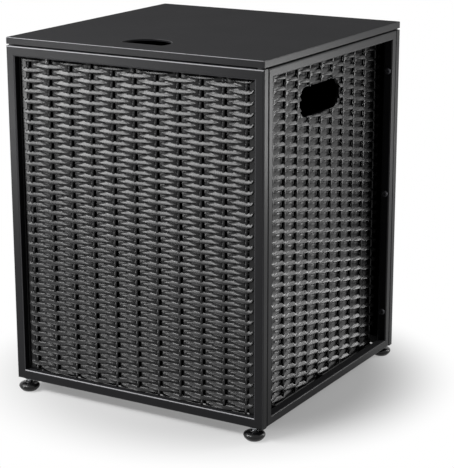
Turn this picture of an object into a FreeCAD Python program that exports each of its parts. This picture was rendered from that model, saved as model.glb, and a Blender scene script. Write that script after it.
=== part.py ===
import FreeCAD, Part
import math
import os

# Cover table for a small gas cylinder: four bolted frames of steel tube that hold wicker
# panels, a loose lid of folded sheet steel and four levelling feet. The bottom is open, so
# that the cover drops over the cylinder. Millimetres, +Z up, the front faces -Y. The origin
# is on the floor, under the middle of the cover.

V = FreeCAD.Vector

# Overall sizes
cover_width = 406.4
cover_depth = 406.4
frame_height = 483.7
foot_height = 17.5  # floor to the underside of the frames, with the feet as set
lid_gap = 2.4  # open line between the frames and the lid
lid_edge = 9.3  # height of the lid's folded edge

# Steel tube of the frames: its wide side faces the front and the rear
tube_wide = 14.0
tube_narrow = 12.4
tube_wall = 1.2
tube_round = 2.2

# Corner bolts, which pass along Y through a side post into a front or rear post
bolt_r = 3.0
bolt_hole_r = 3.3
bolt_end_inset = 58.0  # frame end to the outer bolts
bolt_head_r = 5.0
bolt_head_height = 3.0
bolt_head_round = 1.8
bolt_engagement = 7.6  # thread length inside the insert
bolt_socket_flats = 4.0  # hexagon key size
bolt_socket_depth = 1.8
insert_body_r = 4.2
insert_end_gap = 2.2  # end of an insert to the tube's far wall
thread_clearance = 0.08

# Wicker panels: a deep edge, upright stakes, and a sheet that comes forward over each stake as
# the strands that cross it do. The front and rear panels stand inside their frames, and the
# side panels behind theirs.
front_panel_recess = 6.0  # outer face of a frame to the crests of the weave
side_panel_recess = 22.0
front_panel_gap = 5.0  # panel edge to a post, seen from outside
side_panel_gap = 3.4
front_panel_end_gap = 0.3  # panel edge to a rail
side_panel_end_inset = 3.5  # frame's top or bottom to the panel's edge
panel_thickness = 9.0
panel_sheet = 3.0
panel_edge_width = 5.0
front_stake_pitch = 34.6  # between stakes, counted from the middle of a panel
side_stake_pitch = 34.1
stake_width = 3.8
stake_depth = 7.0
weave_crest = 0.8  # panel's front down to the sheet over a stake
weave_crest_width = 8.0
weave_hollow = 3.2  # panel's front down to the sheet midway between stakes
blind_boss_drop = 1.5  # panel's front down to a boss whose hole is blind

# Hand holes in the side panels
hand_hole_length = 117.0
hand_hole_height = 42.5
hand_hole_round = 19.0
hand_hole_drop = 69.7  # top of the frame down to the middle of the hole

# Screws that hold each panel to its top and bottom rail, through spacer sleeves at the
# sides and through stepped clips in front and at the rear
screw_spacing = 140.0
spacer_r = 5.0
screw_r = 1.6
screw_hole_clearance = 0.2
pilot_clearance = 0.05
screw_head_r = 3.5
screw_head_height = 2.2
screw_head_round = 1.1
screw_bite = 2.0  # shank that shows inside the shallower tube
panel_screw_depth = 6.0  # shank of a clip's screw inside a panel
clip_sheet = 1.2
clip_length = 16.0
clip_margin = 4.5  # axis of a screw to the clip's end
clip_bend = 1.2  # rail's edge down to where the step begins

# Lid
lid_sheet = 1.0
lid_corner_round = 2.0
lid_top_round = 1.2
tab_rail_gap = 2.0  # locating tab to the back of the deeper rail
finger_hole_r = 35.0
finger_hole_x = -8.0
finger_hole_front = 53.0  # lid's front edge to the centre of the hole's arc
finger_hole_flat = 11.5  # centre of the arc to the straight front edge
finger_hole_corner = 4.0
finger_collar_depth = 2.0
finger_edge_round = 0.8

# Hat-shaped stiffeners under the lid's sheet
stiffener_spacing = 200.0
stiffener_crown = 20.0
stiffener_lip = 8.0
stiffener_sheet = 0.8
stiffener_gap = 0.3  # above the return flange
stiffener_end_gap = 0.5

# Angle tabs that keep the lid in place, and its rubber bumpers
tab_sheet = 1.5
tab_length = 30.0
tab_foot = 11.0
tab_drop = 12.0  # below the top of the frames
tab_stiffener_gap = 4.2  # side of a stiffener to the nearest tab
bumper_r = 5.0
bumper_seat_gap = 0.1

# Levelling feet
foot_inset = 16.0  # side of the cover to a foot's centre
pad_r = 15.0
pad_base_r = 13.6
pad_base_height = 1.4
pad_side_top = 7.0
pad_bulge = 0.72  # where the dome's arc passes, as a share of its width and height
pad_crown_r = 8.0
pad_hub_r = 5.2
pad_hub_height = 0.8
pad_socket_depth = 8.0
stem_r = 3.0
foot_rise = 3.0  # a foot's travel up from where it is set
foot_rise_gap = 0.7  # pad to insert with the foot right up
stem_end_gap = 0.8  # stem to the tube's upper wall with the foot right up
foot_insert_body_r = 4.4
foot_insert_end_gap = 4.3  # insert to the tube's upper wall
foot_flange_r = 6.0
foot_flange = 0.8

# Heights and planes worked out from the sizes above
frame_bottom = foot_height
frame_top = frame_bottom + frame_height
lid_bottom = frame_top + lid_gap
lid_top = lid_bottom + lid_edge
half_width = cover_width / 2
half_depth = cover_depth / 2
side_frame_width = cover_depth - 2 * tube_narrow
bolt_levels = (bolt_end_inset, frame_height / 2, frame_height - bolt_end_inset)
bolt_line = tube_wide / 2  # outer side face of the cover to the bolts' axes
bolt_reach = tube_narrow + bolt_engagement
insert_length = tube_narrow - tube_wall - insert_end_gap
bore_round = max(tube_round - tube_wall, 0.1 * tube_wall)
hand_hole_level = frame_height - hand_hole_drop
lid_return = max(tube_wide, tube_narrow) + tab_rail_gap  # flange turned in under the lid
screw_tip = min(tube_wide, tube_narrow) - tube_wall - screw_bite
tab_offset = (stiffener_spacing - stiffener_crown - tab_length) / 2 - stiffener_sheet - tab_stiffener_gap
pad_height = foot_height - foot_flange - foot_rise - foot_rise_gap
pad_crown_height = pad_height - pad_hub_height
stem_reach = tube_wide - tube_wall - foot_rise - stem_end_gap
foot_insert_length = tube_wide - tube_wall - foot_insert_end_gap
seat_overlap = 0.5  # how far a feature is let into the solid that it grows from
through = 1.0  # how far a cutting tool runs past the face that it cuts
near_zero = 0.01  # two places closer than this count as one

# Each side of the cover is drawn once in its own plane, as if it were the front: U to the
# right, Z up, and the depth W from the outer face inward. A turn about Z then places it.
SIDES = {
    "front": {"turn": 0, "reach": half_depth, "width": cover_width,
              "face": tube_wide, "depth": tube_narrow, "recess": front_panel_recess},
    "right": {"turn": 90, "reach": half_width, "width": side_frame_width,
              "face": tube_narrow, "depth": tube_wide, "recess": side_panel_recess},
    "rear": {"turn": 180, "reach": half_depth, "width": cover_width,
             "face": tube_wide, "depth": tube_narrow, "recess": front_panel_recess},
    "left": {"turn": 270, "reach": half_width, "width": side_frame_width,
             "face": tube_narrow, "depth": tube_wide, "recess": side_panel_recess},
}


def is_side(name):
    """True for the two side frames, which stand between the front and the rear frame."""
    return name in ("left", "right")


def place(shape, side):
    """Move a shape from the plane of one side to its place on the cover."""
    moved = shape.copy()
    moved.translate(V(0, -side["reach"], frame_bottom))
    moved.rotate(V(0, 0, 0), V(0, 0, 1), side["turn"])
    return moved


def box(low, high):
    """Box between two corners."""
    return Part.makeBox(high[0] - low[0], high[1] - low[1], high[2] - low[2], V(*low))


def rounded_box(low, high, axis, radius):
    """Box between two corners with its four edges along one axis rounded."""
    solid = box(low, high)
    long_edges = []
    for edge in solid.Edges:
        direction = edge.tangentAt(edge.FirstParameter)
        if abs(direction[axis]) > 1 - near_zero:
            long_edges.append(edge)
    return solid.makeFillet(radius, long_edges)


def cylinder(radius, start, end):
    """Round bar from one point to another."""
    run = V(*end) - V(*start)
    return Part.makeCylinder(radius, run.Length, V(*start), run)


def prism(points, run):
    """Flat outline swept along a vector."""
    corners = [V(*p) for p in points]
    return Part.Face(Part.makePolygon(corners + corners[:1])).extrude(V(*run))


def hollow_tube(low, high, axis):
    """Steel tube with rounded edges that fills a box along one axis."""
    outer = rounded_box(low, high, axis, tube_round)
    inner_low = [c + tube_wall for c in low]
    inner_high = [c - tube_wall for c in high]
    inner_low[axis] = low[axis] - through
    inner_high[axis] = high[axis] + through
    bore = rounded_box(inner_low, inner_high, axis, bore_round)
    return outer.cut(bore)


def mitred_tubes(width, face, depth):
    """Four tubes of a frame, mitred at its corners, by name."""
    half = width / 2
    top = frame_height
    boxes = {
        "left_post": ((-half, 0, 0), (-half + face, depth, top), 2),
        "right_post": ((half - face, 0, 0), (half, depth, top), 2),
        "bottom_rail": ((-half, 0, 0), (half, depth, face), 0),
        "top_rail": ((-half, 0, top - face), (half, depth, top), 0),
    }
    corners = {
        "left_post": ((-half, 0), (-half + face, face), (-half + face, top - face), (-half, top)),
        "right_post": ((half, 0), (half - face, face), (half - face, top - face), (half, top)),
        "bottom_rail": ((-half, 0), (half, 0), (half - face, face), (-half + face, face)),
        "top_rail": ((-half, top), (half, top), (half - face, top - face), (-half + face, top - face)),
    }
    tubes = {}
    for name, (low, high, axis) in boxes.items():
        outline = [(u, -through, z) for u, z in corners[name]]
        mitre = prism(outline, (0, depth + 2 * through, 0))
        tubes[name] = hollow_tube(low, high, axis).common(mitre)
    return tubes


def screw_places(face):
    """Points on the top and bottom rails' centre lines where a screw goes into a rail."""
    levels = (face / 2, frame_height - face / 2)
    return [(u, z) for z in levels for u in (-screw_spacing, 0, screw_spacing)]


def frame_tubes(name):
    """Tubes of one frame with their holes, by name, in the plane of that side."""
    side = SIDES[name]
    face = side["face"]
    depth = side["depth"]
    tubes = mitred_tubes(side["width"], face, depth)
    for u, z in screw_places(face):
        rail = "bottom_rail" if z < frame_height / 2 else "top_rail"
        pilot = cylinder(screw_r + pilot_clearance, (u, depth / 2, z), (u, depth + through, z))
        tubes[rail] = tubes[rail].cut(pilot)
    for sign, post in ((-1, "left_post"), (1, "right_post")):
        for z in bolt_levels:
            if is_side(name):
                middle = sign * (side["width"] / 2 - face / 2)
                reach = face / 2 + through
                hole = cylinder(bolt_hole_r, (middle - reach, bolt_line, z), (middle + reach, bolt_line, z))
            else:
                u = sign * (half_width - bolt_line)
                hole = cylinder(insert_body_r, (u, depth / 2, z), (u, depth + through, z))
            tubes[post] = tubes[post].cut(hole)
        if not is_side(name):
            u = sign * (half_width - foot_inset)
            hole = cylinder(foot_insert_body_r, (u, depth / 2, -through), (u, depth / 2, face / 2))
            tubes["bottom_rail"] = tubes["bottom_rail"].cut(hole)
    return tubes


def panel_width(name):
    """Width of a panel, from the opening between its frame's posts."""
    side = SIDES[name]
    gap = side_panel_gap if is_side(name) else front_panel_gap
    return side["width"] - 2 * (side["face"] + gap)


def panel_levels(name):
    """Lowest and highest level of a panel: inside the opening, or behind the rails at the sides."""
    inset = side_panel_end_inset if is_side(name) else SIDES[name]["face"] + front_panel_end_gap
    return inset, frame_height - inset


def boss_places(name):
    """Points where a panel has a boss for a screw: on its rails, or just inside the opening."""
    if is_side(name):
        return screw_places(SIDES[name]["face"])
    low_z, high_z = panel_levels(name)
    levels = (low_z + spacer_r, high_z - spacer_r)
    return [(u, z) for z in levels for u in (-screw_spacing, 0, screw_spacing)]


def hand_hole(front, back):
    """Round-ended hole through a side panel, between two depths."""
    low = (-hand_hole_length / 2, front, hand_hole_level - hand_hole_height / 2)
    high = (hand_hole_length / 2, back, hand_hole_level + hand_hole_height / 2)
    return rounded_box(low, high, 1, min(hand_hole_round, hand_hole_height / 2 - near_zero))


def stake_pitch(name):
    """Distance between the upright stakes of a panel."""
    return side_stake_pitch if is_side(name) else front_stake_pitch


def stake_lines(name):
    """Places of the upright stakes of a panel, evenly spaced from its middle."""
    pitch = stake_pitch(name)
    steps = int((panel_width(name) / 2 - stake_width) / pitch)
    return [step * pitch for step in range(-steps, steps + 1)]


def woven_sheet(name, low_z, high_z):
    """Thin sheet that comes forward over each stake and falls back between the stakes."""
    crest = SIDES[name]["recess"] + weave_crest
    hollow = SIDES[name]["recess"] + weave_hollow
    half_pitch = stake_pitch(name) / 2
    half_crest = weave_crest_width / 2
    line = [(stake_lines(name)[0] - half_pitch, hollow)]
    for u in stake_lines(name):
        line += [(u - half_crest, crest), (u + half_crest, crest), (u + half_pitch, hollow)]
    back = [(u, w + panel_sheet) for u, w in reversed(line)]
    outline = [(u, w, low_z) for u, w in line + back]
    return prism(outline, (0, 0, high_z - low_z))


def wicker_panel(name):
    """Panel of one side: wavy sheet, deep edge and upright stakes, holed for its screws."""
    half = panel_width(name) / 2
    front = SIDES[name]["recess"]
    back = front + panel_thickness
    middle = (front + back) / 2
    low_z, high_z = panel_levels(name)
    block = box((-half, front, low_z), (half, back, high_z))
    rim = panel_edge_width
    window = box((-half + rim, front - through, low_z + rim), (half - rim, back + through, high_z - rim))
    panel = block.cut(window)
    reach = rim / 2
    inside = box((-half + reach, front, low_z), (half - reach, back, high_z))
    parts = [woven_sheet(name, low_z + reach, high_z - reach).common(inside)]
    for u in stake_lines(name):
        stake_low = (u - stake_width / 2, middle - stake_depth / 2, low_z + reach)
        stake_high = (u + stake_width / 2, middle + stake_depth / 2, high_z - reach)
        parts.append(box(stake_low, stake_high))
    boss_front = front if is_side(name) else front + blind_boss_drop
    for u, z in boss_places(name):
        parts.append(cylinder(spacer_r, (u, boss_front, z), (u, back, z)))
    panel = panel.fuse(parts).removeSplitter()
    for u, z in boss_places(name):
        if is_side(name):
            hole = cylinder(screw_r + screw_hole_clearance, (u, front - through, z), (u, back + through, z))
        else:
            end = back - panel_screw_depth - pilot_clearance
            hole = cylinder(screw_r + pilot_clearance, (u, end, z), (u, back + through, z))
        panel = panel.cut(hole)
    if is_side(name):
        panel = panel.cut(hand_hole(front - through, back + through))
    return panel


def panel_spacers():
    """Sleeves between the side frames' rails and their panels."""
    sleeves = []
    for name in ("right", "left"):
        side = SIDES[name]
        for u, z in screw_places(side["face"]):
            start = (u, side["depth"], z)
            end = (u, side["recess"], z)
            sleeve = cylinder(spacer_r, start, end).cut(cylinder(screw_r + screw_hole_clearance, start, end))
            sleeves.append(place(sleeve, side))
    return Part.makeCompound(sleeves)


def panel_clip(side, u, rail_edge, up):
    """Stepped clip from the back of a rail to the back of the panel beside it.

    up is 1 at a bottom rail and -1 at a top rail, where the clip is upside down.
    """
    depth = side["depth"]
    back = side["recess"] + panel_thickness
    start = -side["face"] / 2 - clip_margin
    end = front_panel_end_gap + spacer_r + clip_margin
    half_sheet = clip_sheet / 2
    profile = [
        (depth, start), (depth, -clip_bend), (back, 0), (back, end), (back + clip_sheet, end),
        (back + clip_sheet, -half_sheet), (depth + clip_sheet, -clip_bend - half_sheet),
        (depth + clip_sheet, start),
    ]
    outline = [(u - clip_length / 2, w, rail_edge + up * z) for w, z in profile]
    clip = prism(outline, (clip_length, 0, 0))
    for z in (-side["face"] / 2, front_panel_end_gap + spacer_r):
        level = rail_edge + up * z
        hole = cylinder(screw_r + screw_hole_clearance, (u, depth - through, level),
                        (u, back + clip_sheet + through, level))
        clip = clip.cut(hole)
    return clip


def panel_clips():
    """Clips that hold the front and rear panels to their top and bottom rails."""
    clips = []
    for name in ("front", "rear"):
        side = SIDES[name]
        for rail_edge, up in ((side["face"], 1), (frame_height - side["face"], -1)):
            for u in (-screw_spacing, 0, screw_spacing):
                clips.append(place(panel_clip(side, u, rail_edge, up), side))
    return Part.makeCompound(clips)


def pan_screw(u, z, seat, tip):
    """Pan-head screw along the depth, from the plane that its head sits on to its tip."""
    head = cylinder(screw_head_r, (u, seat, z), (u, seat + screw_head_height, z))
    shank = cylinder(screw_r, (u, tip, z), (u, seat + seat_overlap, z))
    crown = [e for e in head.Edges if e.CenterOfMass.y > seat + screw_head_height - near_zero]
    return head.makeFillet(screw_head_round, crown).fuse(shank).removeSplitter()


def panel_screws():
    """All screws that hold the four panels."""
    screws = []
    for name, side in SIDES.items():
        back = side["recess"] + panel_thickness
        rail_seat = back if is_side(name) else side["depth"] + clip_sheet
        for u, z in screw_places(side["face"]):
            screws.append(place(pan_screw(u, z, rail_seat, screw_tip), side))
        if not is_side(name):
            for u, z in boss_places(name):
                screws.append(place(pan_screw(u, z, back + clip_sheet, back - panel_screw_depth), side))
    return Part.makeCompound(screws)


def corner_bolt():
    """Button-head socket bolt along +Y, with the underside of its head at the origin."""
    head = cylinder(bolt_head_r, (0, -bolt_head_height, 0), (0, 0, 0))
    crown = [e for e in head.Edges if e.CenterOfMass.y < -bolt_head_height + near_zero]
    head = head.makeFillet(bolt_head_round, crown)
    shank = cylinder(bolt_r, (0, -seat_overlap, 0), (0, bolt_reach, 0))
    corner_r = bolt_socket_flats / math.sqrt(3)
    corners = []
    for step in range(6):
        angle = math.radians(60 * step)
        corners.append((corner_r * math.cos(angle), -bolt_head_height - through, corner_r * math.sin(angle)))
    socket = prism(corners, (0, through + bolt_socket_depth, 0))
    return head.fuse(shank).removeSplitter().cut(socket)


def corner_insert():
    """Threaded insert along +Y that starts at the origin."""
    body = cylinder(insert_body_r, (0, 0, 0), (0, insert_length, 0))
    bore = cylinder(bolt_r + thread_clearance, (0, -through, 0), (0, insert_length + through, 0))
    return body.cut(bore)


def at_corners(shape, start):
    """Copies of a shape at each bolt place, turned so that its +Y points outward."""
    copies = []
    for turn in (0, 180):
        for sign in (-1, 1):
            for z in bolt_levels:
                copy = shape.copy()
                copy.translate(V(sign * (half_width - bolt_line), start, frame_bottom + z))
                copy.rotate(V(0, 0, 0), V(0, 0, 1), turn)
                copies.append(copy)
    return Part.makeCompound(copies)


def finger_hole_outline(grow, z):
    """Outline of the lid's finger hole: a circle cut off straight in front, corners rounded."""
    cx = finger_hole_x
    cy = -half_depth + finger_hole_front
    radius = finger_hole_r + grow
    corner = finger_hole_corner + grow
    flat = finger_hole_flat + grow
    drop = flat - corner
    run = math.sqrt((radius - corner) ** 2 - drop ** 2)
    slope = math.atan2(-drop, run)

    def on(circle_x, circle_y, r, angle):
        return V(circle_x + r * math.cos(angle), circle_y + r * math.sin(angle), z)

    right = on(cx, cy, radius, slope)
    left = on(cx, cy, radius, math.pi - slope)
    right_foot = V(cx + run, cy - flat, z)
    left_foot = V(cx - run, cy - flat, z)
    right_bend = on(cx + run, cy - drop, corner, (slope - math.pi / 2) / 2)
    left_bend = on(cx - run, cy - drop, corner, math.pi - (slope - math.pi / 2) / 2)
    edges = [
        Part.Arc(right, V(cx, cy + radius, z), left).toShape(),
        Part.Arc(left, left_bend, left_foot).toShape(),
        Part.LineSegment(left_foot, right_foot).toShape(),
        Part.Arc(right_foot, right_bend, right).toShape(),
    ]
    return Part.Face(Part.Wire(edges))


def lid_tray():
    """Folded tray with a flange turned in below and a finger hole with a pressed collar."""
    low = (-half_width, -half_depth, lid_bottom)
    high = (half_width, half_depth, lid_top)
    tray = rounded_box(low, high, 2, lid_corner_round)
    top_edges = [e for e in tray.Edges if e.BoundBox.ZMin > lid_top - near_zero]
    tray = tray.makeFillet(lid_top_round, top_edges)
    t = lid_sheet
    hollow = box((low[0] + t, low[1] + t, low[2] + t), (high[0] - t, high[1] - t, high[2] - t))
    r = lid_return
    mouth = box((low[0] + r, low[1] + r, low[2] - through), (high[0] - r, high[1] - r, low[2] + t + through))
    tray = tray.cut(hollow).cut(mouth)
    collar_bottom = lid_top - t - finger_collar_depth
    collar = finger_hole_outline(t, collar_bottom).extrude(V(0, 0, finger_collar_depth + t / 2))
    tray = tray.fuse(collar).removeSplitter()
    hole = finger_hole_outline(0, collar_bottom - through).extrude(V(0, 0, lid_edge + through))
    tray = tray.cut(hole)
    rim = []
    for edge in tray.Edges:
        span = edge.BoundBox
        on_top = span.ZMin > lid_top - near_zero
        near = abs(span.Center.x - finger_hole_x) < finger_hole_r + through
        inside = abs(span.Center.y) < half_depth - lid_return
        if on_top and near and inside:
            rim.append(edge)
    return tray.makeFillet(finger_edge_round, rim)


def lid_stiffeners():
    """Two hat-shaped channels under the lid's sheet, from front to rear."""
    sheet_z = lid_top - lid_sheet
    depth = lid_edge - 2 * lid_sheet - stiffener_gap
    half_crown = stiffener_crown / 2
    t = stiffener_sheet
    lip = half_crown + stiffener_lip
    profile = [
        (-lip, 0), (-half_crown, 0), (-half_crown, t - depth), (half_crown, t - depth),
        (half_crown, 0), (lip, 0), (lip, -t), (half_crown + t, -t),
        (half_crown + t, -depth), (-half_crown - t, -depth), (-half_crown - t, -t), (-lip, -t),
    ]
    end = half_depth - lid_sheet - stiffener_end_gap
    channels = []
    for sign in (-1, 1):
        x = sign * stiffener_spacing / 2
        outline = [(x + u, -end, sheet_z + z) for u, z in profile]
        channels.append(prism(outline, (0, 2 * end, 0)))
    return Part.makeCompound(channels)


def lid_tabs():
    """Eight angle tabs on the lid's flange that hang inside the frames."""
    inner = lid_return
    flange_top = lid_sheet + lid_gap
    profile = [
        (inner - tab_foot, flange_top), (inner, flange_top), (inner, -tab_drop),
        (inner + tab_sheet, -tab_drop), (inner + tab_sheet, flange_top + tab_sheet),
        (inner - tab_foot, flange_top + tab_sheet),
    ]
    tabs = []
    for side in SIDES.values():
        for sign in (-1, 1):
            start = sign * tab_offset - tab_length / 2
            outline = [(start, w, frame_height + z) for w, z in profile]
            tabs.append(place(prism(outline, (tab_length, 0, 0)), side))
    return Part.makeCompound(tabs)


def lid_bumpers():
    """Rubber discs under the lid that rest on the tubes at the four corners."""
    bumpers = []
    for x in (-1, 1):
        for y in (-1, 1):
            centre_x = x * (half_width - tube_wide / 2)
            centre_y = y * (half_depth - tube_narrow / 2)
            low = (centre_x, centre_y, frame_top + bumper_seat_gap)
            bumpers.append(cylinder(bumper_r, low, (centre_x, centre_y, lid_bottom)))
    return Part.makeCompound(bumpers)


def foot_centres():
    """Name and plan position of each levelling foot."""
    x = half_width - foot_inset
    y = half_depth - tube_narrow / 2
    return {
        "front_left": (-x, -y), "front_right": (x, -y),
        "rear_left": (-x, y), "rear_right": (x, y),
    }


def foot_pad(x, y):
    """Moulded pad with a domed top and a hub round the stem."""
    dome_start = V(pad_r, 0, pad_side_top)
    dome_end = V(pad_crown_r, 0, pad_crown_height)
    middle_r = pad_crown_r + (pad_r - pad_crown_r) * pad_bulge
    dome_middle = V(middle_r, 0, pad_side_top + (pad_crown_height - pad_side_top) * pad_bulge)
    hub = [V(pad_hub_r, 0, pad_crown_height), V(pad_hub_r, 0, pad_height), V(0, 0, pad_height)]
    floor = [V(0, 0, 0), V(pad_base_r, 0, 0), V(pad_r, 0, pad_base_height), dome_start]
    edges = [Part.makePolygon(floor)]
    edges.append(Part.Arc(dome_start, dome_middle, dome_end).toShape())
    edges.append(Part.makePolygon([dome_end] + hub + [floor[0]]))
    outline = []
    for piece in edges:
        outline.extend(piece.Edges)
    pad = Part.Face(Part.Wire(outline)).revolve(V(0, 0, 0), V(0, 0, 1), 360)
    socket_floor = pad_height - pad_socket_depth
    socket = cylinder(stem_r + thread_clearance, (0, 0, socket_floor), (0, 0, pad_height + through))
    pad = Part.Solid(Part.Shell(pad.Faces)).cut(socket)
    pad.translate(V(x, y, 0))
    return pad


def foot_stem(x, y):
    """Threaded stem from the pad's socket up into the frame."""
    return cylinder(stem_r, (x, y, pad_height - pad_socket_depth), (x, y, frame_bottom + stem_reach))


def foot_inserts():
    """Flanged threaded inserts in the bottom rails, one over each foot."""
    inserts = []
    for x, y in foot_centres().values():
        top = frame_bottom + foot_insert_length
        flange = cylinder(foot_flange_r, (x, y, frame_bottom - foot_flange), (x, y, frame_bottom))
        body = cylinder(foot_insert_body_r, (x, y, frame_bottom - foot_flange), (x, y, top))
        bore = cylinder(stem_r + thread_clearance, (x, y, 0), (x, y, top + through))
        inserts.append(flange.fuse(body).removeSplitter().cut(bore))
    return Part.makeCompound(inserts)


def all_nodes():
    """Every piece of the cover, by the name of its node."""
    nodes = {}
    turned = {"front": ("left", "right"), "rear": ("right", "left"),
              "left": ("rear", "front"), "right": ("front", "rear")}
    for name, side in SIDES.items():
        tubes = frame_tubes(name)
        first, second = turned[name]
        nodes[name + "_frame_" + first + "_post"] = place(tubes["left_post"], side)
        nodes[name + "_frame_" + second + "_post"] = place(tubes["right_post"], side)
        nodes[name + "_frame_top_rail"] = place(tubes["top_rail"], side)
        nodes[name + "_frame_bottom_rail"] = place(tubes["bottom_rail"], side)
        nodes[name + "_wicker_panel"] = place(wicker_panel(name), side)
    side_post_face = half_depth - 2 * tube_narrow
    nodes["corner_bolts"] = at_corners(corner_bolt(), side_post_face)
    nodes["corner_inserts"] = at_corners(corner_insert(), half_depth - tube_narrow)
    nodes["panel_screws"] = panel_screws()
    nodes["panel_clips"] = panel_clips()
    nodes["panel_spacers"] = panel_spacers()
    nodes["foot_inserts"] = foot_inserts()
    nodes["lid_tray"] = lid_tray()
    nodes["lid_stiffeners"] = lid_stiffeners()
    nodes["lid_tabs"] = lid_tabs()
    nodes["lid_bumpers"] = lid_bumpers()
    for name, (x, y) in foot_centres().items():
        nodes[name + "_foot_pad"] = foot_pad(x, y)
        nodes[name + "_foot_stem"] = foot_stem(x, y)
    return nodes


os.makedirs("parts", exist_ok=True)
for node, shape in all_nodes().items():
    shape.exportStep("parts/" + node + ".step")
    facts = (node, len(shape.Solids), shape.Volume, shape.isValid())
    print("%-32s solids %2d  volume %10.1f mm3  valid %s" % facts)
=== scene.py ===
# %% [markdown]
# # A cover table for a small gas cylinder
# The real object is a bottomless box of powder-coated steel tube with moulded wicker panels,
# a loose folded steel lid and four levelling feet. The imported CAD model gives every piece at
# its real size, so this lesson keeps it as a fixed frame: it dresses the metal pieces where
# they stand, and models anew only what the CAD keeps plain, the weave and the levelling feet.

import bmesh
import bpy
import numpy as np
from mathutils import Matrix, Vector


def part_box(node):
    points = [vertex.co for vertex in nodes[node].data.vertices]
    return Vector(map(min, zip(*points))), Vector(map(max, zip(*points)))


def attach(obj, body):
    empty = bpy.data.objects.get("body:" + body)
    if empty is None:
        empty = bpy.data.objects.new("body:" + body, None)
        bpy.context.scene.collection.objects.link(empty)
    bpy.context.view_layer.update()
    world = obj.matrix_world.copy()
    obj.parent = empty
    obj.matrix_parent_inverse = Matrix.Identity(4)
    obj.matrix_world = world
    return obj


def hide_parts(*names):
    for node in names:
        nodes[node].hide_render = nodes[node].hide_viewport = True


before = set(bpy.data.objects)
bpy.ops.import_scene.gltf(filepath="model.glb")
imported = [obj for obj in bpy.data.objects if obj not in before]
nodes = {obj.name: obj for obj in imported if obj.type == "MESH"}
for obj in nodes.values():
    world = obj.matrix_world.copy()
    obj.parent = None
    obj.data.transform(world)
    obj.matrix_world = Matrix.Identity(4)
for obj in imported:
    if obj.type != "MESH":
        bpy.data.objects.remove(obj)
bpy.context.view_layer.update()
MM = 0.001

# %% [markdown]
# ## The camera
# The photograph was taken from a little above, with a long lens, to the right of the front.
# The camera could be placed by eye, but an angle, a distance and a focal length that are
# fitted to the object's outer corners come closer. The photograph's lens looks shifted, and
# this one isn't, so corners are up to about four pixels off. The camera looks at a point a
# little to the right of the object's middle, because the object stands left in the picture.

# %% Camera
IMAGE_SIZE = (454, 468)
SENSOR = 36.0
VIEW_AZIMUTH = np.radians(30.45)
VIEW_ELEVATION = np.radians(15.35)
VIEW_ROLL = np.radians(-0.09)
VIEW_DISTANCE = 2.404
VIEW_TARGET = Vector((0.0293, 0.0, 0.2164))
FOCAL_PIXELS = 1656.0


def direction(azimuth, elevation):
    """Unit vector towards an azimuth, counted from the front to the right, and an elevation."""
    level = np.cos(elevation)
    return Vector((np.sin(azimuth) * level, -np.cos(azimuth) * level, np.sin(elevation)))


def add_camera():
    """Camera whose axes are the view's right, up and back, turned by the roll about the last."""
    back = direction(VIEW_AZIMUTH, VIEW_ELEVATION)
    level_right = Vector((np.cos(VIEW_AZIMUTH), np.sin(VIEW_AZIMUTH), 0))
    level_up = back.cross(level_right)
    right = level_right * np.cos(VIEW_ROLL) + level_up * np.sin(VIEW_ROLL)
    up = level_up * np.cos(VIEW_ROLL) - level_right * np.sin(VIEW_ROLL)
    data = bpy.data.cameras.new("camera")
    data.sensor_width = SENSOR
    data.lens = FOCAL_PIXELS / max(IMAGE_SIZE) * SENSOR
    camera = bpy.data.objects.new("camera", data)
    camera.matrix_world = Matrix((right, up, back)).transposed().to_4x4()
    camera.location = VIEW_TARGET + back * VIEW_DISTANCE
    bpy.context.scene.collection.objects.link(camera)
    bpy.context.scene.camera = camera
    return camera


camera = add_camera()
print("camera at", [round(v, 3) for v in camera.location], "lens", round(camera.data.lens, 1), "mm")

# %% [markdown]
# ## Colours and nodes
# Colours are written here as sRGB hex values, as a screen shows them, but a shader's sockets
# take linear light. They could be typed in as linear numbers, but one function that turns them
# keeps them readable. Another function adds any node with its settings and its links.

# %% Colour and node helpers
def hex_to_linear(text):
    """Linear RGBA of an sRGB hex colour: below 0.04045 c / 12.92, else ((c + 0.055) / 1.055) ^ 2.4."""
    srgb = np.array([int(text[i:i + 2], 16) for i in (1, 3, 5)]) / 255
    linear = np.where(srgb <= 0.04045, srgb / 12.92, ((srgb + 0.055) / 1.055) ** 2.4)
    return (*linear.tolist(), 1.0)


def add_node(tree, kind, inputs=None, links=None, **settings):
    """Add a shader node, set its properties and sockets, and link other nodes' outputs to it."""
    node = tree.nodes.new(kind)
    for key, value in settings.items():
        setattr(node, key, value)
    for key, value in (inputs or {}).items():
        node.inputs[key].default_value = value
    for key, output in (links or {}).items():
        tree.links.new(output, node.inputs[key])
    return node


print("#808080 in linear:", [round(v, 3) for v in hex_to_linear("#808080")])

# %% [markdown]
# ## Light and backdrop
# The picture looks like a studio shot over white paper. Area lights stand in for its lamps: two
# large ones on the left and in front, which the weave's strands mirror, a low one that the flat
# front faces mirror, a narrow one overhead, and two behind on the right for that side. The
# paper's whiteness doesn't come from more light on the object: the world adds its own white
# only for rays that come from the camera, a reflection or a transmission.

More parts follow.
